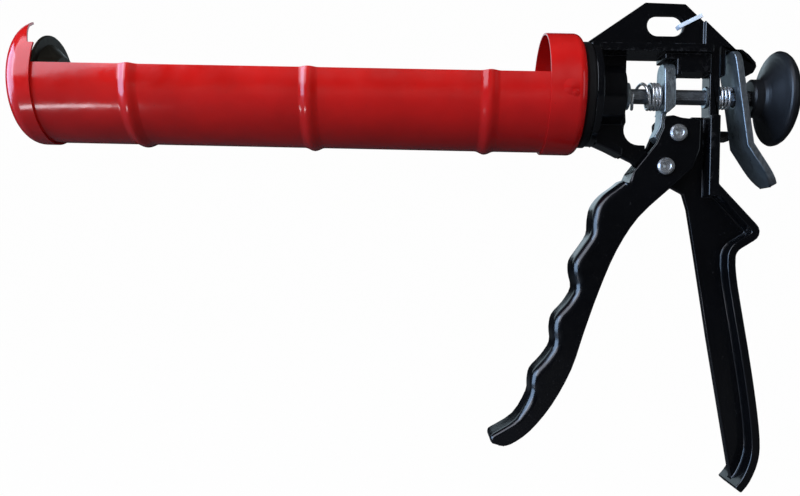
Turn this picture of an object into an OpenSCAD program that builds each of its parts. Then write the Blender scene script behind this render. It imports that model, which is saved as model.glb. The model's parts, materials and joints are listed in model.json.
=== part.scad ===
// Half-barrel caulking gun for a round sealant cartridge.
// Millimetres. +X runs back along the push rod to the knob, +Z is up.
// The origin is on the rod's axis, on the floor of the rear cup, where the cartridge seats.

/* [Cradle] */
// Outside diameter of the half-round cradle
barrel_od = 52; // [46:1:64]
// Clear length for the cartridge, from the cup's floor to the front cap
bay_len = 247; // [200:1:300]
// Thickness of the cradle, cup and cap sheet
sheet = 1; // [0.7:0.1:1.4]
// Depth of the rear cup's rim
cup_depth = 15; // [12:0.5:24]
// Depth of the front cap, over its flange
cap_depth = 12.8; // [11:0.2:20]
// Corner radius of the front cap
cap_corner = 7.4; // [4:0.2:9]
// Gap between the cap's flange and the cradle, at the cradle's edges
cap_gap = 0.6; // [0:0.1:1.5]
// Width of the nozzle slot
nozzle_slot_w = 26; // [20:1:30]
// Number of stiffening beads round the cradle
bead_count = 3; // [1:1:5]
// Distance from the cup's floor to the first bead
bead_start = 40; // [30:1:45]
// Distance from the front cap to the last bead
bead_end = 53; // [25:1:60]
// Width of a bead
bead_w = 9; // [5:0.5:10]
// Height of a bead above the cradle
bead_h = 1.4; // [0.8:0.1:2]
// Turn of the cradle about the rod at rest, in degrees
cradle_turn = 11; // [0:1:45]

/* [Swivel] */
// Diameter of the threaded swivel bush
bush_d = 18; // [15:0.5:22]
// Across flats of the swivel nut inside the cup
nut_af = 27; // [25:0.5:32]
// Thickness of the swivel nut
nut_t = 4; // [3:0.5:6]
// Outside diameter of the swivel washer
swivel_washer_d = 38; // [33:1:39]
// Diameter of the friction ring behind the cup
ring_d = 47; // [42:1:52]
// Thickness of the friction ring
ring_t = 4; // [2:0.5:6]

/* [Rod] */
// Across flats of the hexagonal push rod
rod_af = 6; // [5:0.1:6.5]
// Radial clearance of a sliding or turning fit
fit = 0.06; // [0.04:0.01:0.09]
// Gap between faces that pass each other
face_gap = 0.15; // [0.1:0.05:0.4]
// Gap between the piston and the cradle's wall
piston_gap = 3; // [1:0.25:4]
// Distance from the front cap's inner face to the piston's rim, at rest
piston_setback = 10; // [9:0.5:120]
// Depth of the piston's dish
piston_dish = 5.5; // [3:0.5:6]

/* [Frame] */
// Distance from the friction ring to the mechanism window
hub_len = 17.4; // [16:0.2:22]
// Length of the mechanism window
window_len = 35.9; // [35:0.1:43]
// Height of the window above the rod
window_top = 18.3; // [17:0.1:22]
// Depth of the window below the rod
window_low = 22; // [20:0.5:24]
// Thickness of the spine behind the window
spine_t = 4.5; // [4:0.25:6]
// Thickness of the frame's web
web_t = 3.5; // [3:0.25:4.5]
// Width of the frame's and handle's flange
flange_w = 20; // [18:0.5:24]
// Thickness of the frame's and handle's flange
flange_t = 3.6; // [3:0.1:4]
// Length of the hanging slot
slot_len = 16.2; // [12:0.2:18]
// Width of the hanging slot
slot_w = 9.3; // [6:0.1:10]

/* [Drive] */
// Thickness of the drive dog
dog_t = 5; // [4:0.25:6]
// Width of the drive dog
dog_w = 14; // [12:0.5:15]
// Wire of the drive spring
drive_wire = 1.4; // [1:0.1:1.6]
// Clearance between the drive spring and the rod
drive_spring_gap = 1.45; // [1:0.05:2]
// Thickness of the release plate
plate_t = 3.1; // [2.8:0.1:4]
// Width of the release plate
plate_w = 20; // [18:0.5:22]
// Lean of the release plate, in degrees
plate_lean = 9; // [8:0.5:10]
// Wire of the release spring
release_wire = 1.1; // [0.8:0.1:1.3]
// Clearance between the release spring and the rod
release_spring_gap = 0.65; // [0.4:0.05:1]

/* [Trigger] */
// Width of the trigger's channel
trigger_w = 18; // [17:0.5:22]
// Wall of the trigger's channel
trigger_wall = 2.4; // [2:0.1:3]
// Height of the trigger's pivot below the rod
pivot_drop = 32; // [31:0.25:33]
// Distance from the pivot up to the pusher rivet
pusher_rise = 14.8; // [14:0.1:15.5]
// Diameter of the rivets
rivet_d = 5; // [4:0.1:5.4]
// Diameter of the rivets' heads
rivet_head_d = 7.4; // [6.5:0.1:8.4]

/* [Knob] */
// Diameter of the knob's head
knob_d = 42; // [34:0.5:50]
// Length of the knob
knob_len = 18.2; // [17:0.1:26]
// Diameter of the knob's stem
knob_stem_d = 17; // [14:0.5:20]

/* [Hidden] */
$fn = 72;

// Radii and stations that follow from the sizes above
cradle_r = barrel_od / 2;
cap_x = -bay_len - sheet;
bead_gap = (bay_len - bead_start - bead_end) / max(bead_count - 1, 1);
cup_corner = 4;
rod_r = rod_af / 2 / cos(30);
rod_bore_r = rod_r + fit;
bush_r = bush_d / 2;
washer_t = 1.5;
nut_x = -face_gap - washer_t - nut_t;
bush_front_x = nut_x - 1.5;
ring_x = sheet + face_gap;
hub_x = ring_x + ring_t;
hub_flange_t = 3.3;
hub_r = bush_r + 4;
strut_w = 12;
front_bush_r = rod_bore_r + 1.5;
bush_lip_t = 1.2;
window_x = hub_x + hub_len;
hub_end_x = window_x - 2;
spine_x = window_x + window_len;
spine_end_x = spine_x + spine_t;
spine_half_w = rod_bore_r + 1.6;
rear_bush_r = rod_bore_r + 1;

// The dog rests on the stop block, the spring fills what is left of the window
dog_x = spine_x - 20.2;
dog_top = 14.6;
dog_gap = 0.3;
stop_x = dog_x + dog_t + face_gap;
drive_spring_x = window_x + bush_lip_t;
drive_coil_r = rod_r + drive_spring_gap + drive_wire / 2;
release_coil_r = rod_r + release_spring_gap + release_wire / 2;

// Trigger pivot and pusher, in X and Z
pivot = [spine_x - 19.8, -pivot_drop];
pusher = [pivot[0] + 5.2, pusher_rise - pivot_drop];
sleeve_r = 3.6;
cheek_y = trigger_w / 2 - trigger_wall;
rivet_r = rivet_d / 2;

// Release plate: its hinge line at the top, and its faces where they cross the rod's axis
plate_x = spine_end_x + 8.8;
plate_top = 19.8;
plate_hole_r = rod_r + 0.65;
release_stop_x = spine_end_x + 5.4;
hook_w = 8;

piston_r = cradle_r - sheet - piston_gap;
piston_x = bay_len - piston_setback;
piston_t = 1.5;
piston_back_x = piston_dish - piston_x;
stud_r = 2.4;
knob_x = plate_x + 5.5;
knob_r = knob_d / 2;
insert_r = rod_r + 2.5;
insert_len = 12;

function point(c, r, a) = c + r * [cos(a), sin(a)];
function arc(c, r, a0, a1, n = 8) = [for (i = [0:n]) point(c, r, a0 + (a1 - a0) * i / n)];

// One point of a Catmull-Rom curve, and a smooth curve through a list of points
function blend(a, b, c, d, t) =
    ((2 * b) + (c - a) * t + (2 * a - 5 * b + 4 * c - d) * t * t
    + (3 * b - a - 3 * c + d) * t * t * t) / 2;
function smooth(p, n = 4) = let (last = len(p) - 1) concat(
    [for (i = [0:last - 1]) for (k = [0:n - 1])
        blend(p[max(i - 1, 0)], p[i], p[i + 1], p[min(i + 2, last)], k / n)],
    [p[last]]);

// The direction of a path at each point, and the same path moved sideways by d
function heading(p, i) = let (v = p[min(i + 1, len(p) - 1)] - p[max(i - 1, 0)]) v / norm(v);
function beside(p, d) = [for (i = [0:len(p) - 1]) p[i] + d * [heading(p, i)[1], -heading(p, i)[0]]];
function reversed(p) = [for (i = [len(p) - 1:-1:0]) p[i]];
function strip(p, d) = concat(p, reversed(beside(p, d)));

// A cylinder along the rod's axis, and one across the tool through a point in X and Z
module along(r, x0, x1) { translate([x0, 0, 0]) rotate([0, 90, 0]) cylinder(r = r, h = x1 - x0); }
module across(r, w, p) {
    translate([p[0], 0, p[1]]) rotate([90, 0, 0]) cylinder(r = r, h = w, center = true);
}

// A side view made w thick about the tool's middle plane
module slab(w) { rotate([90, 0, 0]) linear_extrude(w, center = true) children(); }

// A profile of [distance along X, radius] points turned about the rod's axis
module turned(p) { rotate([0, 90, 0]) rotate_extrude() polygon([for (q = p) [q[1], q[0]]]); }

// A block from one corner to the other
module block(a, b) { translate(a) cube(b - a); }

// A coil spring from x0 to x1: turns, and how far along X it has come after each part turn
function coil_x(t, x0, x1, open, closed) =
    t < open[0] ? x0 : t > open[1] ? x1 - (open[2] - t) * closed : x0
    + (x1 - (open[2] - open[1]) * closed - x0) * (t - open[0]) / (open[1] - open[0]);

module coil(x0, x1, r, wire, open, closed, steps = 20, sides = 8) {
    n = ceil(open[2] * steps);
    rings = [for (i = [0:n]) let (t = open[2] * i / n, a = 360 * t + 90)
        [coil_x(t, x0 + wire / 2, x1 - wire / 2, open, closed), a]];
    points = [for (q = rings) for (k = [0:sides - 1]) let (b = 360 * k / sides,
        s = r + wire / 2 * cos(b)) [q[0] + wire / 2 * sin(b), s * cos(q[1]), s * sin(q[1])]];
    walls = [for (i = [0:n - 1]) for (k = [0:sides - 1]) let (j = (k + 1) % sides)
        [i * sides + k, i * sides + j, (i + 1) * sides + j, (i + 1) * sides + k]];
    ends = [[for (k = [sides - 1:-1:0]) k], [for (k = [0:sides - 1]) n * sides + k]];
    polyhedron(points, concat(walls, ends));
}

// Half-round sheet cradle with pressed beads, turned about the rod
function bead_rise(s) = s < 0 || s > 1 ? 0 : bead_h * (1 - cos(360 * s)) / 2;
module cradle() {
    front = cap_x + cap_corner;
    steps = 10;
    bead_x = [for (i = [bead_count - 1:-1:0]) -bead_start - i * bead_gap - bead_w / 2];
    outer = concat([[front, cradle_r]],
        [for (x = bead_x) for (k = [0:steps]) [x + bead_w * k / steps, cradle_r + bead_rise(k / steps)]],
        [[-cup_corner, cradle_r]]);
    inner = [for (q = outer) [q[0], q[1] - sheet]];
    profile = concat(outer, reversed(inner));
    color("firebrick") rotate([-cradle_turn, 0, 0]) rotate([0, 90, 0])
        rotate_extrude(angle = 180, start = -90) polygon([for (q = profile) [q[1], q[0]]]);
}

// Pressed front cap: a rounded dish with a nozzle slot between two horns
module front_cap() {
    inner_r = cradle_r + cap_gap;
    outer_r = inner_r + sheet;
    corner = [cap_x + cap_corner, outer_r - cap_corner];
    back = cap_x + cap_depth;
    outer = concat([[cap_x, 0]], arc(corner, cap_corner, 180, 90, 10), [[back, outer_r]]);
    inner = concat([[back, inner_r]], arc(corner, cap_corner - sheet, 90, 180, 10), [[-bay_len, 0]]);
    horn_z = cradle_r * 0.34;
    horn_x = back - 2.6;
    half = nozzle_slot_w / 2;
    beyond = 2 * outer_r;
    color("firebrick") rotate([-cradle_turn, 0, 0]) difference() {
        translate([0, 0, cap_gap]) turned(concat(outer, inner));
        along(half, cap_x - 1, back + 1);
        block([cap_x - 1, -half, 0], [back + 1, half, beyond]);
        slab(2 * beyond) polygon([[horn_x, horn_z], [back + 1, horn_z], [back + 1, beyond],
            [horn_x - beyond * 0.34, beyond + horn_z]]);
    }
}

// Pressed rear cup with a rounded floor corner and a hole for the swivel bush
module rear_cup() {
    outer_r = cradle_r + sheet;
    corner = [sheet - cup_corner, outer_r - cup_corner];
    hole_r = bush_r + fit;
    outer = concat([[sheet, hole_r]], arc(corner, cup_corner, 0, 90), [[-cup_depth, outer_r]]);
    inner = concat([[-cup_depth, cradle_r]], arc(corner, cup_corner - sheet, 90, 0), [[0, hole_r]]);
    color("firebrick") turned(concat(outer, inner));
}

// Hexagon nut that holds the cup on the bush
module swivel_nut() {
    color("silver") difference() {
        translate([nut_x, 0, 0]) rotate([0, 90, 0]) cylinder(r = nut_af / 2 / cos(30), h = nut_t, $fn = 6);
        along(bush_r, nut_x - 1, 1);
    }
}

// Flat washer between the nut and the cup's floor
module swivel_washer() {
    color("silver") difference() {
        along(swivel_washer_d / 2, nut_x + nut_t, -face_gap);
        along(bush_r, nut_x, 1);
    }
}

// Threaded bush that the cup turns on, screwed into the frame's hub
module swivel_bush() {
    color("silver") difference() {
        along(bush_r, bush_front_x, hub_x + hub_len / 2);
        along(rod_bore_r, bush_front_x - 1, window_x);
    }
}

// Friction ring between the cup and the frame
module friction_ring() {
    edge = 0.8;
    r = ring_d / 2;
    color("black") turned([[ring_x, bush_r], [ring_x, r - edge], [ring_x + edge, r], [hub_x - edge, r],
        [hub_x, r - edge], [hub_x, bush_r]]);
}

// Side outline of the web over the rod: front slope, top, rear slope
function crest() = [[hub_x, 24], [window_x + 7.9, 42], [spine_x - 10.2, 41.6], [spine_end_x + 7.2, 21.2]];

module hang_slot() {
    centre = [spine_x - 19, 31.7];
    end = (slot_len - slot_w) / 2;
    across(slot_w / 2, 2 * flange_w, centre - [end, 0]);
    across(slot_w / 2, 2 * flange_w, centre + [end, 0]);
    corner = [end, flange_w, slot_w / 2];
    block([centre[0], 0, centre[1]] - corner, [centre[0], 0, centre[1]] + corner);
}

// Window for the dog and its spring, with a pocket below for the dog's leg and the pusher
function window() = concat([[spine_x, window_top], [window_x, window_top], [window_x, -7]],
    arc([window_x + 6.2, 6.8 - window_low], 6.8, 150, 270),
    [[pivot[0] - 7, -window_low], [pivot[0] - 7, 7.2 - pivot_drop], [pivot[0] + 13, 7.2 - pivot_drop],
    [pivot[0] + 13, -9], [spine_x, -9]]);

// Thick rear of the web with the hook that holds the release plate's top
module release_hook() {
    slope = crest();
    top_x = spine_x - 2;
    top_z = slope[2][1] + (slope[3][1] - slope[2][1]) * (top_x - slope[2][0]) / (slope[3][0] - slope[2][0]);
    x = spine_end_x;
    notch_z = plate_top + 0.3;
    color("black") slab(hook_w) polygon([[top_x, top_z], slope[3], [x + 10, 21.2],
        [x + 13, 19], [x + 16, 15.6], [x + 16.4, 13.6], [x + 15, 10.8], [x + 12.4, 9.9],
        [x + 10.4, 11], [x + 8.6, notch_z], [x + 2.9, notch_z], [x + 2.9, 9.5], [x, 9], [top_x, 12]]);
}

// Rear edge of the handle from the spine over the spur to the toe
function handle_back() = let (x = spine_end_x, r = flange_t + 1) concat([[x - 2, -38.2]],
    arc([x + 17 - r, -59.8], r, 48, -62, 5), arc([x + 12.2, -71.8], 5.4, 122, 168, 4),
    smooth([[x + 6.9, -74.5], [x + 8.1, -84], [x + 13, -110], [x + 16.8, -132], [x + 19.1, -150],
    [x + 18.6, -160], [x + 15.2, -169], [x + 11.5, -174]], 3));

// Front edge of the handle's web, from the toe back up to the pivot
function handle_front() = let (x = spine_x) [[x + 13.9, -167], [x + 8.2, -137], [x + 2.9, -108.4],
    [x - 3.6, -71.3], [x - 7.4, -50.5], [x - 9.6, -43.6], [x - 14.6, -41]];

// Cast frame: hub, web with the window and slot, flanged bar, spine and the fixed handle
module frame() {
    slope = crest();
    web = concat(slope, [[spine_end_x + 2.9, plate_top + 0.4], [spine_end_x, 8], [spine_end_x - 0.5, -38.2]],
        handle_back(), handle_front(),
        arc(pivot, 8, 280, 200, 5), [[window_x + 3, -29.8], [hub_x + 9.8, -24.8], [hub_x, -20.6]]);
    color("black") difference() {
        union() {
            along(ring_d / 2 - 0.6, hub_x, hub_x + hub_flange_t);
            along(hub_r, hub_x, hub_end_x);
            difference() {
                slab(web_t) polygon(web);
                slab(2 * web_t) polygon(window());
            }
            block([hub_x, -flange_w / 2, window_top], [spine_x, flange_w / 2, window_top + flange_t]);
            block([spine_x, -spine_half_w, -12], [spine_end_x, spine_half_w, window_top + flange_t]);
            block([spine_x - 1, -flange_w / 2, -44.6], [spine_end_x - 1, flange_w / 2, -9]);
            block([dog_x - face_gap, -dog_w / 2, dog_top + 1], [spine_x, dog_w / 2, window_top]);
            block([stop_x, -dog_w / 2, 10], [spine_x, dog_w / 2, window_top]);
            block([stop_x, -dog_w / 2, 8.4], [stop_x + 2.3, dog_w / 2, 12]);
            block([spine_x + 1, -3, -19.6], [release_stop_x, 3, -15.2]);
            slab(flange_w) polygon(strip(handle_back(), flange_t));
            slab(strut_w) polygon([[hub_x, -20.6], [hub_x, -16.5], [hub_x + 9.8, -20.8],
                [window_x - 2, -24], [window_x - 2, -27.6], [hub_x + 9.8, -24.8]]);
            across(6, 2 * (cheek_y - face_gap), pivot);
            release_hook();
        }
        hang_slot();
        along(bush_r, hub_x - 1, hub_x + hub_len / 2);
        along(front_bush_r, hub_x, window_x + 1);
        along(rear_bush_r, spine_x - 1, spine_end_x + 1);
        across(rivet_r, flange_w, pivot);
    }
}

// Flanged bush in the hub, where the drive spring stands
module front_bush() {
    color("tan") difference() {
        union() {
            along(front_bush_r, hub_x + hub_len / 2, window_x);
            along(front_bush_r + 1, window_x, window_x + bush_lip_t);
        }
        along(rod_bore_r, hub_x, window_x + 3);
    }
}

// Plain bush in the spine
module rear_bush() {
    color("silver") difference() {
        along(rear_bush_r, spine_x - 0.8, spine_end_x);
        along(rod_bore_r, spine_x - 2, spine_end_x + 1);
    }
}

// Hexagonal push rod with a threaded stud at the front
module push_rod() {
    color("slategray") union() {
        translate([piston_back_x + 1.2, 0, 0]) rotate([0, 90, 0])
            cylinder(r = rod_r, h = knob_x + insert_len + 1 - piston_back_x - 1.2, $fn = 6);
        along(stud_r, piston_back_x - piston_t - 4.5, piston_back_x + 2);
    }
}

// Dished piston plate: a flat rim, and a raised centre that leaves room for the nut in front
module piston_plate() {
    rim = -piston_x;
    edge = 0.4;
    centre_r = 12.5;
    dish_r = 18;
    rear = [[piston_back_x, stud_r], [piston_back_x, centre_r], [rim, dish_r], [rim, piston_r - edge],
        [rim - edge, piston_r]];
    front = [[rim + edge - piston_t, piston_r], [rim - piston_t, piston_r - edge],
        [rim - piston_t, dish_r - 1], [piston_back_x - piston_t, centre_r - 1],
        [piston_back_x - piston_t, stud_r]];
    color("dimgray") turned(concat(rear, front));
}

// Washer between the rod's shoulder and the piston
module piston_washer() {
    color("silver") difference() {
        along(7.5, piston_back_x, piston_back_x + 1.2);
        along(stud_r, piston_back_x - 1, piston_back_x + 3);
    }
}

// Hexagon nut in front of the piston
module piston_nut() {
    x = piston_back_x - piston_t - 3.5;
    color("silver") difference() {
        translate([x, 0, 0]) rotate([0, 90, 0]) cylinder(r = 4.6, h = 3.5, $fn = 6);
        along(stud_r, x - 1, x + 5);
    }
}

// Mushroom knob on the rod's rear end
module knob() {
    x = knob_x;
    stem_r = knob_stem_d / 2;
    back = x + knob_len;
    rim = x + 11.6;
    flare = smooth([[x + 4.4, stem_r], [x + 6, stem_r + 2.2], [x + 8.8, knob_r - 4.6],
        [x + 10.3, knob_r - 1], [rim, knob_r]], 3);
    dome = [for (a = [10:10:90]) [rim + (back - rim) * sin(a), a == 90 ? 0 : knob_r * pow(cos(a), 0.8)]];
    color("dimgray") difference() {
        turned(concat([[x, 0], [x, stem_r - 0.8], [x + 0.8, stem_r]], flare, dome));
        along(insert_r, x + 1, x + 1 + insert_len);
        along(rod_r, x - 1, x + 2);
    }
}

// Steel insert that the knob is moulded on
module knob_insert() {
    color("silver") difference() {
        along(insert_r, knob_x + 1, knob_x + 1 + insert_len);
        translate([knob_x, 0, 0]) rotate([0, 90, 0]) cylinder(r = rod_r, h = insert_len + 2, $fn = 6);
    }
}

// Drive dog: a plate on the rod with a leg that the pusher bears on
module drive_dog() {
    x = dog_x;
    rear = pusher[0] - sleeve_r - dog_gap;
    half = dog_w / 2;
    round_r = 4.5;
    top = dog_top - round_r;
    face = concat([[half, -8], [half, 3]], arc([half - 1 - round_r, top], round_r, 0, 90),
        arc([round_r + 1 - half, top], round_r, 90, 180), [[-half, 3], [-half, -8]]);
    color("silver") difference() {
        union() {
            intersection() {
                rotate([90, 0, 90]) linear_extrude(200) polygon(face);
                slab(dog_w) polygon([[x, dog_top], [x, -7], [x - 0.6, -8], [rear, -8],
                    [x + dog_t, -5], [x + dog_t, dog_top]]);
            }
            slab(9) polygon([[x - 0.6, -8], [x - 1.2, -14], [x - 3.6, -18.6],
                [x - 1.4, -20.8], [rear, -19.2], [rear, -8]]);
        }
        along(rod_r + dog_gap, x - 5, x + 2 * dog_t);
    }
}

// Drive spring between the hub's bush and the dog
module drive_spring() {
    color("gainsboro") coil(drive_spring_x, dog_x - face_gap,
        drive_coil_r, drive_wire, [0.5, 1.8, 4.6], drive_wire * 1.04);
}

// Release plate: leans on the rod, with a thumb tab bent back at the bottom
module release_plate() {
    lean = tan(plate_lean);
    t = plate_t / cos(plate_lean);
    bend_z = -22;
    front = [plate_x - t / 2 - lean * plate_top, plate_top];
    bend = [plate_x - t / 2 - lean * bend_z, bend_z];
    tip = bend + [12, -18];
    side = beside([front, bend, tip], -plate_t);
    inner_z = bend_z + 1;
    half = plate_w / 2;
    shoulder_z = plate_top - 5;
    toe_r = 0.98 * half;
    toe_z = tip[1] + toe_r - 1.2;
    color("silver") difference() {
        intersection() {
            slab(plate_w) polygon([front, bend, tip, side[2], [plate_x + t / 2 - lean * inner_z, inner_z],
                [plate_x + t / 2 - lean * plate_top, plate_top]]);
            rotate([90, 0, 90]) linear_extrude(2 * plate_x) polygon(concat(
                arc([half - 5, shoulder_z], 5, 0, 90, 5), arc([5 - half, shoulder_z], 5, 90, 180, 5),
                arc([toe_r - half, toe_z], toe_r, 180, 270, 6),
                arc([half - toe_r, toe_z], toe_r, 270, 360, 6)));
        }
        translate([plate_x, 0, 0]) rotate([0, 90 + plate_lean, 0])
            cylinder(r = plate_hole_r, h = 4 * plate_t, center = true);
    }
}

// Release spring between the spine and the release plate
module release_spring() {
    reach = release_coil_r + release_wire / 2;
    front = plate_x - plate_t / 2 / cos(plate_lean) - tan(plate_lean) * reach - face_gap;
    color("gainsboro") coil(spine_end_x, front, release_coil_r, release_wire,
        [0.3, 3.4, 3.9], release_wire);
}

// Front edge of the trigger: the wall's start, four finger grooves and the tip
function trigger_front() = let (x = pivot[0]) smooth([[x - 13.6, -34.4], [x - 20.4, -40.4], [x - 26, -44.8],
    [x - 29.8, -50], [x - 31, -56.2], [x - 31.4, -62.3], [x - 35.3, -68.8], [x - 38.8, -74.4],
    [x - 39, -80], [x - 37.8, -86.6], [x - 41.3, -93.2], [x - 46.1, -99], [x - 47.2, -105],
    [x - 46.9, -111.6], [x - 50.7, -118], [x - 55.5, -123.6], [x - 56.6, -128.8], [x - 57, -134.5],
    [x - 62.8, -145], [x - 72.4, -151.6]], 3);

// Rear edge of the trigger from its tip up to the crotch
function trigger_back() = let (x = pivot[0]) concat(arc([x - 71, -153.8], 2.8, 150, 235, 4),
    smooth([[x - 69, -156.9], [x - 64.6, -156], [x - 56.4, -150], [x - 47, -138.1], [x - 38.8, -122.3],
    [x - 33.6, -105.7], [x - 27.4, -87.1], [x - 20.2, -69.4], [x - 11, -54.6], [x + 2.1, -41.9]], 3));

// Cast trigger: a channel with two cheeks and a finger-grooved front wall
module trigger() {
    x = pivot[0];
    front = trigger_front();
    rim = [[x + 12.5, -32], [x + 15.2, -24], [x + 15.4, -11.2], [x + 6.8, -10.4], [x + 3.2, -9.4],
        [x + 0.2, -9.8], [x - 1.6, -11.6], [x - 1.4, -15], [x - 4.2, -22]];
    color("black") difference() {
        slab(trigger_w) polygon(concat(front, trigger_back(), rim));
        slab(2 * cheek_y) polygon(concat(beside(front, -trigger_wall),
            [[x - 60, -170], [x + 60, -170], [x + 60, 10], [x - 40, 10], [x - 15, -31]]));
        across(rivet_r + fit, 2 * trigger_w, pivot);
        across(rivet_r, 2 * trigger_w, pusher);
    }
}

// A dimpled rivet across the trigger: shank and two domed heads
module rivet(p, gap) {
    w = trigger_w / 2 + gap;
    head_r = rivet_head_d / 2;
    dimple_r = head_r * 0.45;
    for (s = [-1, 1]) translate([p[0], s * w, p[1]]) rotate([-90 * s, 0, 0]) rotate_extrude()
        polygon([[0, -1], [rivet_r, -1], [rivet_r, 0], [head_r, 0], [head_r, 0.9], [head_r * 0.8, 1.7],
            [dimple_r + 0.3, 1.9], [dimple_r, 1.6], [0, 1]]);
    across(rivet_r, 2 * w, p);
}

module pivot_rivet() { color("gainsboro") rivet(pivot, face_gap); }
module pusher_rivet() { color("gainsboro") rivet(pusher, 0); }

// Sleeve on the pusher rivet that rolls on the dog's leg
module pusher_sleeve() {
    color("silver") difference() {
        across(sleeve_r, 2 * cheek_y, pusher);
        across(rivet_r, 3 * cheek_y, pusher);
    }
}

// Nylon tie of the hang tag: a thin band from the slot over the rear slope
module tag_tie() {
    band = 0.5;
    width = 1.8;
    inner = web_t + 0.2;
    start = [spine_x - 12.3, 30.7];
    run = norm([9.4, 4.9]);
    color("lightcyan") translate([start[0], 0, start[1]]) rotate([0, -atan2(4.5, 8.6), 0]) difference() {
        translate([-band, -inner / 2 - band, 0]) cube([run + 2 * band, inner + 2 * band, width]);
        translate([0, -inner / 2, -1]) cube([run, inner, width + 2]);
    }
}

cradle();
front_cap();
rear_cup();
swivel_nut();
swivel_washer();
swivel_bush();
friction_ring();
frame();
front_bush();
rear_bush();
push_rod();
piston_plate();
piston_washer();
piston_nut();
knob();
knob_insert();
drive_dog();
drive_spring();
release_plate();
release_spring();
trigger();
pivot_rivet();
pusher_rivet();
pusher_sleeve();
tag_tie();
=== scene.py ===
"""Half-barrel caulking gun: finished pieces over the exact parts of its frame."""

import json
from math import atan2, ceil, cos, pi, radians, sin

import bmesh
import bpy
from bpy.props import FloatProperty, FloatVectorProperty, IntProperty, PointerProperty
from mathutils import Matrix, Vector


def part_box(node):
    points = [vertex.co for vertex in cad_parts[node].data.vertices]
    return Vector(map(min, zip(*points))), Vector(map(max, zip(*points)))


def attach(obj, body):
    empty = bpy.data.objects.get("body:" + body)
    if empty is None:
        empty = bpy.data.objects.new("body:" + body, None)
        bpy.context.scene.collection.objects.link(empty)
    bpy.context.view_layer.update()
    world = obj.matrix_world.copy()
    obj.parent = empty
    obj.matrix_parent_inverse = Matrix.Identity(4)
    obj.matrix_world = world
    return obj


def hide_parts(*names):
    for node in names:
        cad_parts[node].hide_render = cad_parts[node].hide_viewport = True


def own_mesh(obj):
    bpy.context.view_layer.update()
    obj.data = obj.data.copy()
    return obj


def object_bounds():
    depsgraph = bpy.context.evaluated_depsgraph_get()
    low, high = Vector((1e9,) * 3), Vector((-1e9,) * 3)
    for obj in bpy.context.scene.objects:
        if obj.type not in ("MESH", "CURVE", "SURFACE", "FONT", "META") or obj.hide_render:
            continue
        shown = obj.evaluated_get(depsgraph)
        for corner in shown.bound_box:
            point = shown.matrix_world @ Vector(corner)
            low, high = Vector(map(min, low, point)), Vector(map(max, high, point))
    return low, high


bl_info = {
    "name": "Caulking gun",
    "version": (1, 0, 0),
    "blender": (4, 5, 0),
    "location": "3D View > Sidebar > Caulking gun",
    "description": "Builds the visible pieces, finishes and studio of a caulking gun",
    "category": "Object",
}

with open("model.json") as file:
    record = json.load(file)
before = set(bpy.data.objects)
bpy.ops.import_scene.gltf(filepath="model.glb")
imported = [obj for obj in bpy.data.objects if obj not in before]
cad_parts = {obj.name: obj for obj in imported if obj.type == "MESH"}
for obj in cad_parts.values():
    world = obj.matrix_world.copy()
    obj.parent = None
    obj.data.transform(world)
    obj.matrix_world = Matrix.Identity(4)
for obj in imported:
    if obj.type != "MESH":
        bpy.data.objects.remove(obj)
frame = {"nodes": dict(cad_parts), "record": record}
CAD_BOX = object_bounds()
RECORD = frame["record"]
BODY_OF = {node: body for body, nodes in RECORD["behaviour"]["bodies"].items() for node in nodes}

# Merging and cleaning a copy of an exact part
MERGE_GAP = 0.000004
FLAT_ANGLE = radians(0.3)
SHORT_EDGE = 0.00015

# Height of the trigger's finger grip above its tip, and of the stretch where its radius grows
FINGER_HEIGHT = 0.121
TIP_FADE = 0.02
LEAST_ROUND = 0.45

# Floor: its size, the wall behind it, the curve between them and its drop below the gun
FLOOR_SIZE = 8.0
WALL_HEIGHT = 4.0
COVE_RADIUS = 1.5
FLOOR_DROP = 0.085


def low(node, axis):
    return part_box(node)[0][axis]


def high(node, axis):
    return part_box(node)[1][axis]


# ---------------------------------------------------------------- settings


def length(name, description, default):
    return FloatProperty(name=name, description=description, default=default, min=0.0,
                         subtype="DISTANCE", unit="LENGTH", precision=5)


def tint(name, description, default):
    return FloatVectorProperty(name=name, description=description, default=default,
                               size=3, min=0.0, max=1.0, subtype="COLOR")


class GunSizes(bpy.types.PropertyGroup):
    """Radii and counts of the finished pieces."""

    sheet_edge: length("Sheet edge", "Radius on the cradle's, cap's and cup's edges", 0.00028)
    casting_edge: length("Casting edge", "Radius on the cast frame's edges", 0.0006)
    grip_edge: length("Grip edge", "Radius on the trigger's front edges", 0.0042)
    plate_edge: length("Plate edge", "Radius on the dog and the release plate", 0.0006)
    small_edge: length("Small edge", "Radius on the rod, nuts and washers", 0.0003)
    drive_wire: length("Drive wire", "Wire of the drive spring", 0.0014)
    release_wire: length("Release wire", "Wire of the release spring", 0.0011)
    coil_steps: IntProperty(name="Coil steps", description="Steps in one turn of a spring",
                            default=32, min=8, max=96)


class GunColours(bpy.types.PropertyGroup):
    """Base colours of the finishes."""

    red: tint("Red enamel", "Paint of the cradle, cap and cup", (0.50, 0.0075, 0.0055))
    black: tint("Black enamel", "Paint of the frame and the trigger", (0.0016, 0.0017, 0.0022))
    plastic: tint("Black plastic", "Friction ring", (0.006, 0.006, 0.0065))
    knob: tint("Knob plastic", "Moulded knob", (0.007, 0.0078, 0.0095))
    zinc: tint("Zinc", "Plating of the dog, plate, nuts and washers", (0.32, 0.39, 0.44))
    rod: tint("Rod steel", "Drawn steel of the push rod", (0.26, 0.29, 0.33))
    piston: tint("Piston steel", "Dull steel of the piston plate", (0.075, 0.072, 0.058))
    bright: tint("Bright steel", "Springs and rivets", (0.80, 0.82, 0.84))
    nylon: tint("Nylon", "Tie of the hang tag", (0.72, 0.80, 0.90))


def sizes():
    return bpy.context.scene.gun_sizes


def colours():
    return bpy.context.scene.gun_colours


# ---------------------------------------------------------------- modelling


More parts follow.
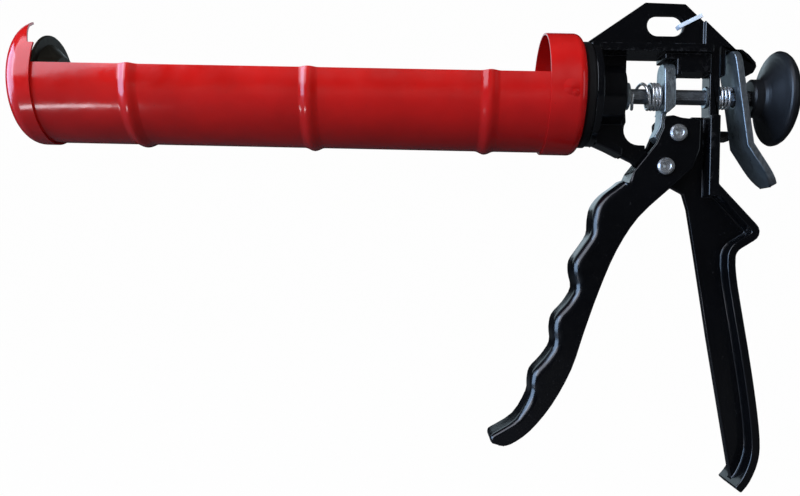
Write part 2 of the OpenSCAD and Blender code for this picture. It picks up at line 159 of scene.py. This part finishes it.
def alone(piece):
    """Deselects everything else and makes the piece active."""
    if bpy.context.object and bpy.context.object.mode != "OBJECT":
        bpy.ops.object.mode_set(mode="OBJECT")
    bpy.ops.object.select_all(action="DESELECT")
    piece.select_set(True)
    bpy.context.view_layer.objects.active = piece


def edit(piece, kind="VERT"):
    """Opens the piece in edit mode with nothing selected."""
    alone(piece)
    bpy.ops.object.mode_set(mode="EDIT")
    bpy.ops.mesh.select_mode(type=kind)
    bpy.ops.mesh.select_all(action="DESELECT")


def leave():
    bpy.ops.object.mode_set(mode="OBJECT")


def pick_edges(piece, test):
    """Selects, in edit mode, the edges between two faces that pass a test."""
    edit(piece, "EDGE")
    shape = bmesh.from_edit_mesh(piece.data)
    for line in shape.edges:
        if len(line.link_faces) == 2:
            line.select_set(test(line, *[face.normal for face in line.link_faces]))
    bmesh.update_edit_mesh(piece.data)


def apply(piece, kind, **values):
    """Adds a modifier with these values and applies it."""
    alone(piece)
    modifier = piece.modifiers.new(kind.title(), kind)
    for key, value in values.items():
        setattr(modifier, key, value)
    bpy.ops.object.modifier_apply(modifier=modifier.name)


def copied(node, name):
    """A merged copy of an exact part, free of its loose triangles."""
    piece = bpy.data.objects.new(name, frame["nodes"][node].data.copy())
    bpy.context.scene.collection.objects.link(piece)
    alone(piece)
    bpy.ops.mesh.customdata_custom_splitnormals_clear()
    edit(piece)
    bpy.ops.mesh.select_all(action="SELECT")
    bpy.ops.mesh.remove_doubles(threshold=MERGE_GAP)
    bpy.ops.mesh.dissolve_limited(angle_limit=FLAT_ANGLE)
    bpy.ops.mesh.select_all(action="SELECT")
    bpy.ops.mesh.dissolve_degenerate(threshold=SHORT_EDGE)
    leave()
    return piece


def rounded(piece, width, segments=3, limit=32.0, clamp=True):
    """Rounds the sharp edges."""
    apply(piece, "BEVEL", width=width, segments=segments, limit_method="ANGLE",
          angle_limit=radians(limit), use_clamp_overlap=clamp)


def smoothed(piece, angle=38.0):
    """Smooth shading that keeps flat faces flat."""
    alone(piece)
    bpy.ops.object.shade_smooth_by_angle(angle=radians(angle))
    apply(piece, "WEIGHTED_NORMAL", keep_sharp=True, weight=50)


def settle(piece, nodes, finish):
    """Gives the piece its finish and its body, and hides the exact parts that it stands for."""
    piece.data.materials.clear()
    piece.data.materials.append(finish)
    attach(piece, BODY_OF[nodes[0]])
    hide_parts(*nodes)


def dress(node, finish):
    """Gives an exact part its finish."""
    part = frame["nodes"][node]
    if not part.material_slots:
        part.data.materials.append(finish)
    for slot in part.material_slots:
        slot.material = finish


def coil(name, start, radius, wire, stretches):
    """A spring about the rod's axis: stretches of (pitch, turns) joined end to end."""
    parts = []
    x, turn = start, pi / 2
    sides = 12
    for pitch, turns in stretches:
        bpy.ops.object.select_all(action="DESELECT")
        bpy.ops.mesh.primitive_circle_add(
            vertices=sides, radius=wire / 2, rotation=(pi / 2 + turn, 0, 0),
            location=(x, -radius * sin(turn), radius * cos(turn)))
        part = bpy.context.object
        bpy.ops.object.transform_apply(location=True, rotation=True, scale=True)
        steps = ceil(turns * sizes().coil_steps)
        apply(part, "SCREW", axis="X", angle=2 * pi * turns, screw_offset=pitch * turns,
              steps=steps, render_steps=steps, use_normal_calculate=True)
        last = [v.co for v in part.data.vertices[-sides:]]
        end = sum(last, Vector()) / sides
        x, turn = end.x, atan2(-end.y, end.z)
        parts.append(part)
    alone(parts[0])
    for part in parts[1:]:
        part.select_set(True)
    if len(parts) > 1:
        bpy.ops.object.join()
    piece = bpy.context.object
    piece.name = name
    edit(piece)
    bpy.ops.mesh.select_all(action="SELECT")
    bpy.ops.mesh.remove_doubles(threshold=0.00001)
    bpy.ops.mesh.fill_holes(sides=sides)
    bpy.ops.mesh.normals_make_consistent(inside=False)
    leave()
    return piece


# ---------------------------------------------------------------- finishes


class Finish:
    """A procedural material, built node by node on the piece's own coordinates."""

    def __init__(self, name):
        self.material = bpy.data.materials.new(name)
        self.material.use_nodes = True
        self.tree = self.material.node_tree
        self.shader = self.tree.nodes["Principled BSDF"]
        self.where = self.tree.nodes.new("ShaderNodeTexCoord")

    def node(self, kind, links=(), **values):
        made = self.tree.nodes.new("ShaderNode" + kind)
        for key, value in values.items():
            setattr(made, key, value)
        for socket, source in dict(links).items():
            if hasattr(source, "is_output"):
                self.tree.links.new(source, made.inputs[socket])
            else:
                made.inputs[socket].default_value = source
        return made

    def spread(self, scale=(1, 1, 1), turn=(0, 0, 0), shift=(0, 0, 0)):
        """Object coordinates, stretched and turned."""
        return self.node("Mapping", {"Vector": self.where.outputs["Object"], "Scale": scale,
                                     "Rotation": turn, "Location": shift}).outputs["Vector"]

    def noise(self, scale, detail=4.0, along=None, rough=0.55, warp=0.0):
        vector = along or self.where.outputs["Object"]
        return self.node("TexNoise", {"Vector": vector, "Scale": scale, "Detail": detail,
                                      "Roughness": rough, "Distortion": warp}).outputs["Fac"]

    def ranged(self, source, lowest, highest, to_low=0.0, to_high=1.0):
        return self.node("MapRange", {0: source, 1: lowest, 2: highest, 3: to_low, 4: to_high},
                         clamp=True).outputs[0]

    def mixed(self, share, first, second):
        made = self.node("Mix", data_type="RGBA")
        for socket, value in ((0, share), (6, first), (7, second)):
            if hasattr(value, "is_output"):
                self.tree.links.new(value, made.inputs[socket])
            else:
                made.inputs[socket].default_value = value if socket == 0 else (*value, 1.0)
        return made.outputs[2]

    def maths(self, operation, first, second=0.0):
        return self.node("Math", {0: first, 1: second}, operation=operation).outputs[0]

    def relief(self, height, distance, strength=1.0, normal=None):
        links = {"Height": height, "Distance": distance, "Strength": strength}
        if normal:
            links["Normal"] = normal
        return self.node("Bump", links).outputs["Normal"]

    def edges(self, lowest=0.52, highest=0.6):
        """High along convex edges."""
        point = self.node("NewGeometry").outputs["Pointiness"]
        return self.ranged(point, lowest, highest)

    def near(self, place, radius):
        """1 at a place on the piece, falling to 0 at a radius from it."""
        gap = self.node("VectorMath", {0: self.where.outputs["Object"], 1: place},
                        operation="DISTANCE").outputs["Value"]
        return self.ranged(gap, 0.0, radius, 1.0, 0.0)

    def put(self, **values):
        """Sets or links the shader's sockets."""
        names = {"colour": "Base Color", "roughness": "Roughness", "normal": "Normal",
                 "metallic": "Metallic", "coat": "Coat Weight", "coat_roughness": "Coat Roughness",
                 "specular": "Specular IOR Level", "subsurface": "Subsurface Weight"}
        for key, value in values.items():
            socket = self.shader.inputs[names[key]]
            if hasattr(value, "is_output"):
                self.tree.links.new(value, socket)
            else:
                socket.default_value = value
        return self.material


def shade(colour, factor):
    return tuple(min(1.0, channel * factor) for channel in colour)


def enamel(name, colour, patch, chip, dents=(), peel=520.0, gloss=0.16):
    """Glossy stoved paint: orange peel, slow drift of tone, dust specks and worn edges."""
    made = Finish(name)
    drift = made.ranged(made.noise(34.0, 3.0), 0.35, 0.68)
    tone = made.mixed(drift, shade(colour, 0.86), shade(colour, 1.12))
    cloud = made.ranged(made.noise(9.0, 2.0), 0.4, 0.7)
    tone = made.mixed(made.maths("MULTIPLY", cloud, 0.25), tone, patch)
    speck = made.ranged(made.noise(1500.0, 2.0, rough=0.4), 0.735, 0.77)
    tone = made.mixed(made.maths("MULTIPLY", speck, 0.6), tone, chip)
    worn = made.maths("MULTIPLY", made.edges(0.56, 0.72),
                      made.ranged(made.noise(420.0, 3.0), 0.5, 0.62))
    tone = made.mixed(made.maths("MULTIPLY", worn, 0.45), tone, chip)
    rough = made.ranged(made.noise(160.0, 4.0), 0.3, 0.7, gloss - 0.05, gloss + 0.07)
    rough = made.maths("ADD", rough, made.maths("MULTIPLY", worn, 0.25))
    skin = made.relief(made.noise(peel, 2.0), 0.00006, 0.32)
    wave = made.relief(made.noise(70.0, 2.0), 0.00035, 0.22, skin)
    for place, radius, depth in dents:
        wave = made.relief(made.near(place, radius), depth, 0.9, wave)
    return made.put(colour=tone, roughness=rough, normal=wave, coat=0.2, coat_roughness=0.07)


def moulded(name, colour, rough=0.42, grain=900.0, sheen=0.0, shine=0.3):
    """Moulded plastic: fine spark texture, faint flow marks and rubbed edges."""
    made = Finish(name)
    flow = made.ranged(made.noise(26.0, 4.0, warp=1.2), 0.35, 0.7)
    tone = made.mixed(flow, shade(colour, 0.8), shade(colour, 1.25))
    rubbed = made.edges(0.55, 0.7)
    tone = made.mixed(made.maths("MULTIPLY", rubbed, 0.5), tone, shade(colour, 3.2))
    haze = made.ranged(made.noise(110.0, 5.0), 0.3, 0.7, rough - 0.07, rough + 0.08)
    texture = made.relief(made.noise(grain, 3.0), 0.00005, 0.35)
    return made.put(colour=tone, roughness=haze, normal=texture, coat=sheen, coat_roughness=0.3,
                    specular=shine)


def steel(name, colour, rough=0.3, grain=(1, 1, 1), stain=None, mark=0.00003, sheared=None,
          oil=0.0, rust=None):
    """Bare or plated steel: drawn grain, stains, scratches and bright worn edges."""
    made = Finish(name)
    drawn = made.spread(grain)
    bloom = made.ranged(made.noise(55.0, 5.0, warp=0.8), 0.35, 0.68)
    tone = made.mixed(bloom, shade(colour, 0.74), shade(colour, 1.18))
    if stain:
        spots = made.ranged(made.noise(120.0, 6.0, warp=1.5), 0.56, 0.7)
        tone = made.mixed(made.maths("MULTIPLY", spots, 0.6), tone, stain)
    if rust:
        patch = made.maths("MULTIPLY", made.near(*rust), made.ranged(made.noise(260.0), 0.35, 0.6))
        tone = made.mixed(patch, tone, (0.16, 0.085, 0.05))
    bright = made.edges(0.54, 0.66)
    tone = made.mixed(made.maths("MULTIPLY", bright, 0.55), tone, shade(colour, 1.9))
    fibres = made.noise(420.0, 6.0, along=drawn, rough=0.7)
    polish = made.ranged(fibres, 0.25, 0.75, rough - 0.09, rough + 0.13)
    height = fibres
    if sheared:
        facing = made.node("SeparateXYZ", {0: made.where.outputs["Normal"]}).outputs["Y"]
        side = made.ranged(made.maths("ABSOLUTE", facing), 0.75, 0.9)
        torn = made.noise(700.0, 5.0, along=made.spread((1.0, 1.0, 0.35)), rough=0.75)
        tone = made.mixed(side, tone, made.mixed(made.ranged(torn, 0.4, 0.65),
                                                 shade(sheared, 0.55), sheared))
        height = made.mixed(side, fibres, torn)
    surface = made.relief(height, mark, 0.5)
    return made.put(colour=tone, roughness=polish, normal=surface, metallic=0.86,
                    coat=oil, coat_roughness=0.2)


def nylon(name, colour):
    """Drawn nylon band, slightly cloudy."""
    made = Finish(name)
    cloud = made.ranged(made.noise(300.0, 3.0), 0.3, 0.7)
    tone = made.mixed(cloud, shade(colour, 0.88), shade(colour, 1.08))
    rough = made.ranged(made.noise(900.0, 3.0), 0.3, 0.7, 0.22, 0.38)
    ribs = made.relief(made.noise(500.0, 2.0, along=made.spread((0.2, 1.0, 4.0))), 0.00004, 0.4)
    return made.put(colour=tone, roughness=rough, normal=ribs, subsurface=0.15)


FINISHES = {}


# ---------------------------------------------------------------- operators


class GUN_OT_finishes(bpy.types.Operator):
    """Makes every paint, plating and plastic of the gun."""

    bl_idname = "gun.finishes"
    bl_label = "Finishes"

    def execute(self, context):
        hue = colours()
        weld = ((-0.0065, -0.0262, -0.0015), 0.0035, 0.0009)
        pit = ((-0.0045, -0.026, -0.004), 0.0018, 0.0007)
        toe = (high("release_plate", 0) - 0.001, low("release_plate", 1), low("release_plate", 2))
        FINISHES.update(
            red_enamel=enamel("Red enamel", hue.red, (0.36, 0.006, 0.012), (0.09, 0.006, 0.006),
                              dents=(weld, pit)),
            black_enamel=enamel("Black enamel", hue.black, (0.004, 0.005, 0.007),
                                (0.035, 0.036, 0.04), peel=430.0, gloss=0.2),
            black_plastic=moulded("Black plastic", hue.plastic, 0.36, 800.0, 0.0, 0.2),
            knob_plastic=moulded("Knob plastic", hue.knob, 0.33, 1100.0, 0.05, 0.35),
            zinc_steel=steel("Zinc plate", hue.zinc, 0.27, (1, 1, 0.2),
                             stain=(0.16, 0.19, 0.21), sheared=(0.46, 0.53, 0.58)),
            plate_steel=steel("Plate steel", shade(hue.zinc, 0.72), 0.32, (1, 1, 0.25),
                              stain=(0.05, 0.06, 0.07), sheared=(0.34, 0.37, 0.40),
                              mark=0.00008, rust=(toe, 0.007)),
            rod_steel=steel("Rod steel", hue.rod, 0.24, (0.05, 1, 1), stain=(0.06, 0.055, 0.05),
                            oil=0.25),
            piston_steel=steel("Piston steel", hue.piston, 0.42, stain=(0.035, 0.03, 0.022),
                               mark=0.00006),
            spring_steel=steel("Spring steel", hue.bright, 0.2, (1, 1, 1)),
            rivet_steel=steel("Rivet steel", shade(hue.bright, 0.75), 0.26, mark=0.00002),
            nylon=nylon("Nylon", hue.nylon),
        )
        return {"FINISHED"}


class GUN_OT_cradle(bpy.types.Operator):
    """Makes the pressed cradle, front cap and rear cup."""

    bl_idname = "gun.cradle"
    bl_label = "Cradle, cap and cup"

    def execute(self, context):
        for node, name in (("cradle", "cradle_shell"), ("front_cap", "front_cap_shell"),
                           ("rear_cup", "rear_cup_shell")):
            piece = copied(node, name)
            rounded(piece, sizes().sheet_edge, 2, 50.0)
            smoothed(piece, 30.0)
            settle(piece, [node], FINISHES["red_enamel"])
        return {"FINISHED"}


class GUN_OT_casting(bpy.types.Operator):
    """Makes the cast frame with its handle."""

    bl_idname = "gun.casting"
    bl_label = "Frame and handle"

    def execute(self, context):
        piece = copied("frame", "frame_casting")
        rounded(piece, sizes().casting_edge, 3, 40.0, False)
        smoothed(piece)
        settle(piece, ["frame"], FINISHES["black_enamel"])
        return {"FINISHED"}


class GUN_OT_trigger(bpy.types.Operator):
    """Makes the cast trigger with its rounded finger edges."""

    bl_idname = "gun.trigger"
    bl_label = "Trigger"

    def execute(self, context):
        piece = copied("trigger", "trigger_casting")
        side = high("trigger", 1) - 0.0003
        tip_z = low("trigger", 2)
        top_z = tip_z + FINGER_HEIGHT
        edit(piece, "EDGE")
        shape = bmesh.from_edit_mesh(piece.data)
        weight = shape.edges.layers.float.new("bevel_weight_edge")
        for line in shape.edges:
            one, two = (face.normal for face in line.link_faces)
            flat = max(abs(one.y), abs(two.y)) > 0.99
            forward = min(one.x, two.x) < -0.2
            outside = all(abs(v.co.y) > side for v in line.verts)
            level = max(v.co.z for v in line.verts)
            if flat and forward and outside and level < top_z:
                line[weight] = max(LEAST_ROUND, min(1.0, (level - tip_z) / TIP_FADE))
        bmesh.update_edit_mesh(piece.data)
        leave()
        apply(piece, "BEVEL", width=sizes().grip_edge, segments=6, limit_method="WEIGHT",
              use_clamp_overlap=False)
        rounded(piece, 0.0009, 3, 42.0, False)
        smoothed(piece)
        settle(piece, ["trigger"], FINISHES["black_enamel"])
        return {"FINISHED"}


class GUN_OT_rod(bpy.types.Operator):
    """Makes the push rod with its piston and their fasteners."""

    bl_idname = "gun.rod"
    bl_label = "Rod and piston"

    def execute(self, context):
        for node, name, finish in (("push_rod", "hex_rod", "rod_steel"),
                                   ("piston_nut", "piston_hex_nut", "zinc_steel")):
            piece = copied(node, name)
            rounded(piece, sizes().small_edge, 3)
            smoothed(piece)
            settle(piece, [node], FINISHES[finish])
        dress("piston_plate", FINISHES["piston_steel"])
        dress("piston_washer", FINISHES["zinc_steel"])
        return {"FINISHED"}


class GUN_OT_knob(bpy.types.Operator):
    """Finishes the moulded knob and its insert."""

    bl_idname = "gun.knob"
    bl_label = "Knob"

    def execute(self, context):
        dress("knob", FINISHES["knob_plastic"])
        dress("knob_insert", FINISHES["zinc_steel"])
        return {"FINISHED"}


class GUN_OT_plates(bpy.types.Operator):
    """Makes the drive dog and the release plate."""

    bl_idname = "gun.plates"
    bl_label = "Dog and release plate"

    def execute(self, context):
        for node, name, finish in (("drive_dog", "drive_dog_plate", "zinc_steel"),
                                   ("release_plate", "release_lever", "plate_steel")):
            piece = copied(node, name)
            rounded(piece, sizes().plate_edge, 3, 40.0, False)
            smoothed(piece)
            settle(piece, [node], FINISHES[finish])
        return {"FINISHED"}


class GUN_OT_springs(bpy.types.Operator):
    """Winds the drive spring and the release spring."""

    bl_idname = "gun.springs"
    bl_label = "Springs"

    def execute(self, context):
        # open turns follow the first closed end, and the last closed turns lie on the plate
        for node, name, wire, joint, first, open_turns, last in (
                ("drive_spring", "drive_coil", sizes().drive_wire, "dog_slide", 0.1, 1.05,
                 3.2),
                ("release_spring", "release_coil", sizes().release_wire, "release_tilt",
                 0.4, 2.9, 0.6)):
            start, end = low(node, 0), high(node, 0)
            radius = high(node, 2) - wire / 2
            pitch = wire * 1.05
            room = end - start - wire - pitch * last
            piece = coil(name, start + wire / 2, radius, wire,
                         [(0.0001, first), (room / open_turns, open_turns), (pitch, last)])
            smoothed(piece, 60.0)
            settle(piece, [node], FINISHES["spring_steel"])
            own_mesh(piece)
        return {"FINISHED"}


class GUN_OT_fasteners(bpy.types.Operator):
    """Finishes the rivets, nuts, washers, bushes and the friction ring."""

    bl_idname = "gun.fasteners"
    bl_label = "Rivets, swivel and bushes"

    def execute(self, context):
        for node in ("pivot_rivet", "pusher_rivet"):
            dress(node, FINISHES["rivet_steel"])
        for node in ("swivel_washer", "swivel_bush", "front_bush", "rear_bush", "pusher_sleeve"):
            dress(node, FINISHES["zinc_steel"])
        dress("friction_ring", FINISHES["black_plastic"])
        piece = copied("swivel_nut", "swivel_hex_nut")
        rounded(piece, sizes().small_edge, 3)
        smoothed(piece)
        settle(piece, ["swivel_nut"], FINISHES["zinc_steel"])
        return {"FINISHED"}


class GUN_OT_tie(bpy.types.Operator):
    """Makes the nylon tie of the hang tag."""

    bl_idname = "gun.tie"
    bl_label = "Tag tie"

    def execute(self, context):
        piece = copied("tag_tie", "nylon_tie")
        rounded(piece, 0.0002, 2)
        smoothed(piece)
        settle(piece, ["tag_tie"], FINISHES["nylon"])
        return {"FINISHED"}


class GUN_OT_stage(bpy.types.Operator):
    """Sets the pale floor, the soft lights and the camera."""

    bl_idname = "gun.stage"
    bl_label = "Stage"

    # place, target, width, height, power, colour, lights surfaces, shows in reflections
    LIGHTS = {
        "left_softbox": ((-1.05, -0.25, 0.05), (-0.02, 0, -0.05), 0.9, 1.1, 23.0,
                         (0.45, 0.66, 1.0), True, True),
        "top_left_softbox": ((-0.72, -0.55, 0.52), (-0.22, 0, 0), 0.6, 1.1, 8.0,
                             (0.82, 0.86, 1.0), True, True),
        "streak_card": ((-0.36, -0.19, -0.235), (-0.225, -0.024, -0.016), 0.1, 0.03, 0.1,
                        (0.95, 0.93, 1.0), False, True),
        "front_softbox": ((0.10, -0.95, 0.60), (0, 0, -0.05), 1.0, 0.7, 7.0, (1, 1, 1),
                          True, False),
        "low_fill": ((-0.1, -1.0, -0.45), (-0.05, 0, 0), 1.2, 0.8, 12.0, (1, 1, 1), True, False),
        "overhead_softbox": ((0.05, 0.1, 1.1), (0, 0, 0), 1.2, 0.8, 5.0, (1, 1, 1), True, False),
        "right_card": ((1.0, -0.5, 0.2), (0.05, 0, -0.02), 0.4, 0.7, 0.9,
                       (0.75, 0.88, 1.0), True, True),
        "back_card": ((-0.4, 1.3, 0.47), (0.05, 0, 0), 1.6, 0.6, 2.8, (0.70, 0.88, 1.0),
                      False, True),
    }

    def floor(self):
        """A floor that the camera sees pale and that reflections see dark."""
        bpy.ops.object.select_all(action="DESELECT")
        bpy.ops.mesh.primitive_plane_add(size=FLOOR_SIZE, location=(0, 0, 0))
        piece = bpy.context.object
        piece.name = "floor"
        ground = CAD_BOX[0].z - FLOOR_DROP
        edit(piece, "EDGE")
        shape = bmesh.from_edit_mesh(piece.data)
        for line in shape.edges:
            line.select_set(all(v.co.y > 0.49 * FLOOR_SIZE for v in line.verts))
        bmesh.update_edit_mesh(piece.data)
        bpy.ops.mesh.extrude_region_move(TRANSFORM_OT_translate={"value": (0, 0, WALL_HEIGHT)})
        leave()
        pick_edges(piece, lambda line, one, two: abs(one.dot(two)) < 0.1)
        bpy.ops.mesh.bevel(offset=COVE_RADIUS, segments=16, profile=0.5, affect="EDGES")
        bpy.ops.mesh.select_all(action="SELECT")
        bpy.ops.transform.translate(value=(0, 0, ground))
        leave()
        alone(piece)
        bpy.ops.object.shade_smooth()
        made = Finish("Pale floor")
        mottle = made.ranged(made.noise(3.0, 3.0), 0.3, 0.7)
        tone = made.mixed(mottle, (0.05, 0.05, 0.05), (0.06, 0.06, 0.06))
        made.put(colour=tone, roughness=0.75)
        glow = made.node("Emission", {"Color": (1, 1, 1, 1), "Strength": 1.03})
        seen = made.node("LightPath").outputs["Is Camera Ray"]
        share = made.maths("MULTIPLY", seen, 0.96)
        both = made.node("MixShader", {0: share})
        made.tree.links.new(made.shader.outputs[0], both.inputs[1])
        made.tree.links.new(glow.outputs[0], both.inputs[2])
        made.tree.links.new(both.outputs[0], made.tree.nodes["Material Output"].inputs[0])
        piece.data.materials.append(made.material)

    def world(self, context):
        """A white background for the camera, and a dim one for everything else."""
        world = bpy.data.worlds.new("Studio")
        context.scene.world = world
        world.use_nodes = True
        tree = world.node_tree
        back = tree.nodes["Background"]
        back.inputs["Color"].default_value = (1, 1, 1, 1)
        path = tree.nodes.new("ShaderNodeLightPath")
        seen = tree.nodes.new("ShaderNodeMapRange")
        seen.inputs["To Min"].default_value = 0.018
        seen.inputs["To Max"].default_value = 1.0
        tree.links.new(path.outputs["Is Camera Ray"], seen.inputs["Value"])
        tree.links.new(seen.outputs[0], back.inputs["Strength"])

    def camera(self, context):
        yaw, roll = -0.022, 0.0238
        ahead = Vector((sin(yaw), cos(yaw), 0))
        right = Vector((cos(yaw), -sin(yaw), 0))
        up = right.cross(ahead)
        across = right * cos(roll) + up * sin(roll)
        upward = up * cos(roll) - right * sin(roll)
        turn = Matrix((across, upward, -ahead)).transposed()
        bpy.ops.object.select_all(action="DESELECT")
        bpy.ops.object.camera_add(location=(-0.0692, -0.3572, -0.0706),
                                  rotation=turn.to_euler())
        camera = context.object
        camera.data.sensor_width = 36.0
        camera.data.lens = 35.51
        camera.data.clip_start = 0.01
        context.scene.camera = camera

    def execute(self, context):
        self.floor()
        self.world(context)
        for name, values in self.LIGHTS.items():
            place, target, width, height, power, colour, paints, shines = values
            aim = (Vector(target) - Vector(place)).to_track_quat("-Z", "Y")
            bpy.ops.object.select_all(action="DESELECT")
            bpy.ops.object.light_add(type="AREA", location=place, rotation=aim.to_euler())
            lamp = context.object
            lamp.name = name
            lamp.data.shape = "RECTANGLE"
            lamp.data.size, lamp.data.size_y = width, height
            lamp.data.energy = power
            lamp.data.color = colour
            lamp.visible_camera = False
            lamp.visible_diffuse = paints
            lamp.visible_glossy = shines
        self.camera(context)
        context.scene.view_settings.view_transform = "Standard"
        return {"FINISHED"}


class GUN_PT_panel(bpy.types.Panel):
    """Lists the pieces of the caulking gun."""

    bl_idname = "GUN_PT_panel"
    bl_label = "Caulking gun"
    bl_space_type = "VIEW_3D"
    bl_region_type = "UI"
    bl_category = "Caulking gun"

    def draw(self, context):
        for group in (context.scene.gun_sizes, context.scene.gun_colours):
            box = self.layout.box()
            for name in group.__annotations__:
                box.prop(group, name)
        for operator in OPERATORS:
            self.layout.operator(operator.bl_idname)


OPERATORS = (GUN_OT_finishes, GUN_OT_cradle, GUN_OT_casting, GUN_OT_trigger, GUN_OT_rod,
             GUN_OT_knob, GUN_OT_plates, GUN_OT_springs, GUN_OT_fasteners, GUN_OT_tie,
             GUN_OT_stage)
CLASSES = (GunSizes, GunColours, *OPERATORS, GUN_PT_panel)


def register():
    for item in CLASSES:
        bpy.utils.register_class(item)
    bpy.types.Scene.gun_sizes = PointerProperty(type=GunSizes)
    bpy.types.Scene.gun_colours = PointerProperty(type=GunColours)


def unregister():
    del bpy.types.Scene.gun_colours
    del bpy.types.Scene.gun_sizes
    for item in reversed(CLASSES):
        bpy.utils.unregister_class(item)


def main():
    register()
    for operator in OPERATORS:
        group, name = operator.bl_idname.split(".")
        getattr(getattr(bpy.ops, group), name)()


if __name__ == "__main__":
    main()
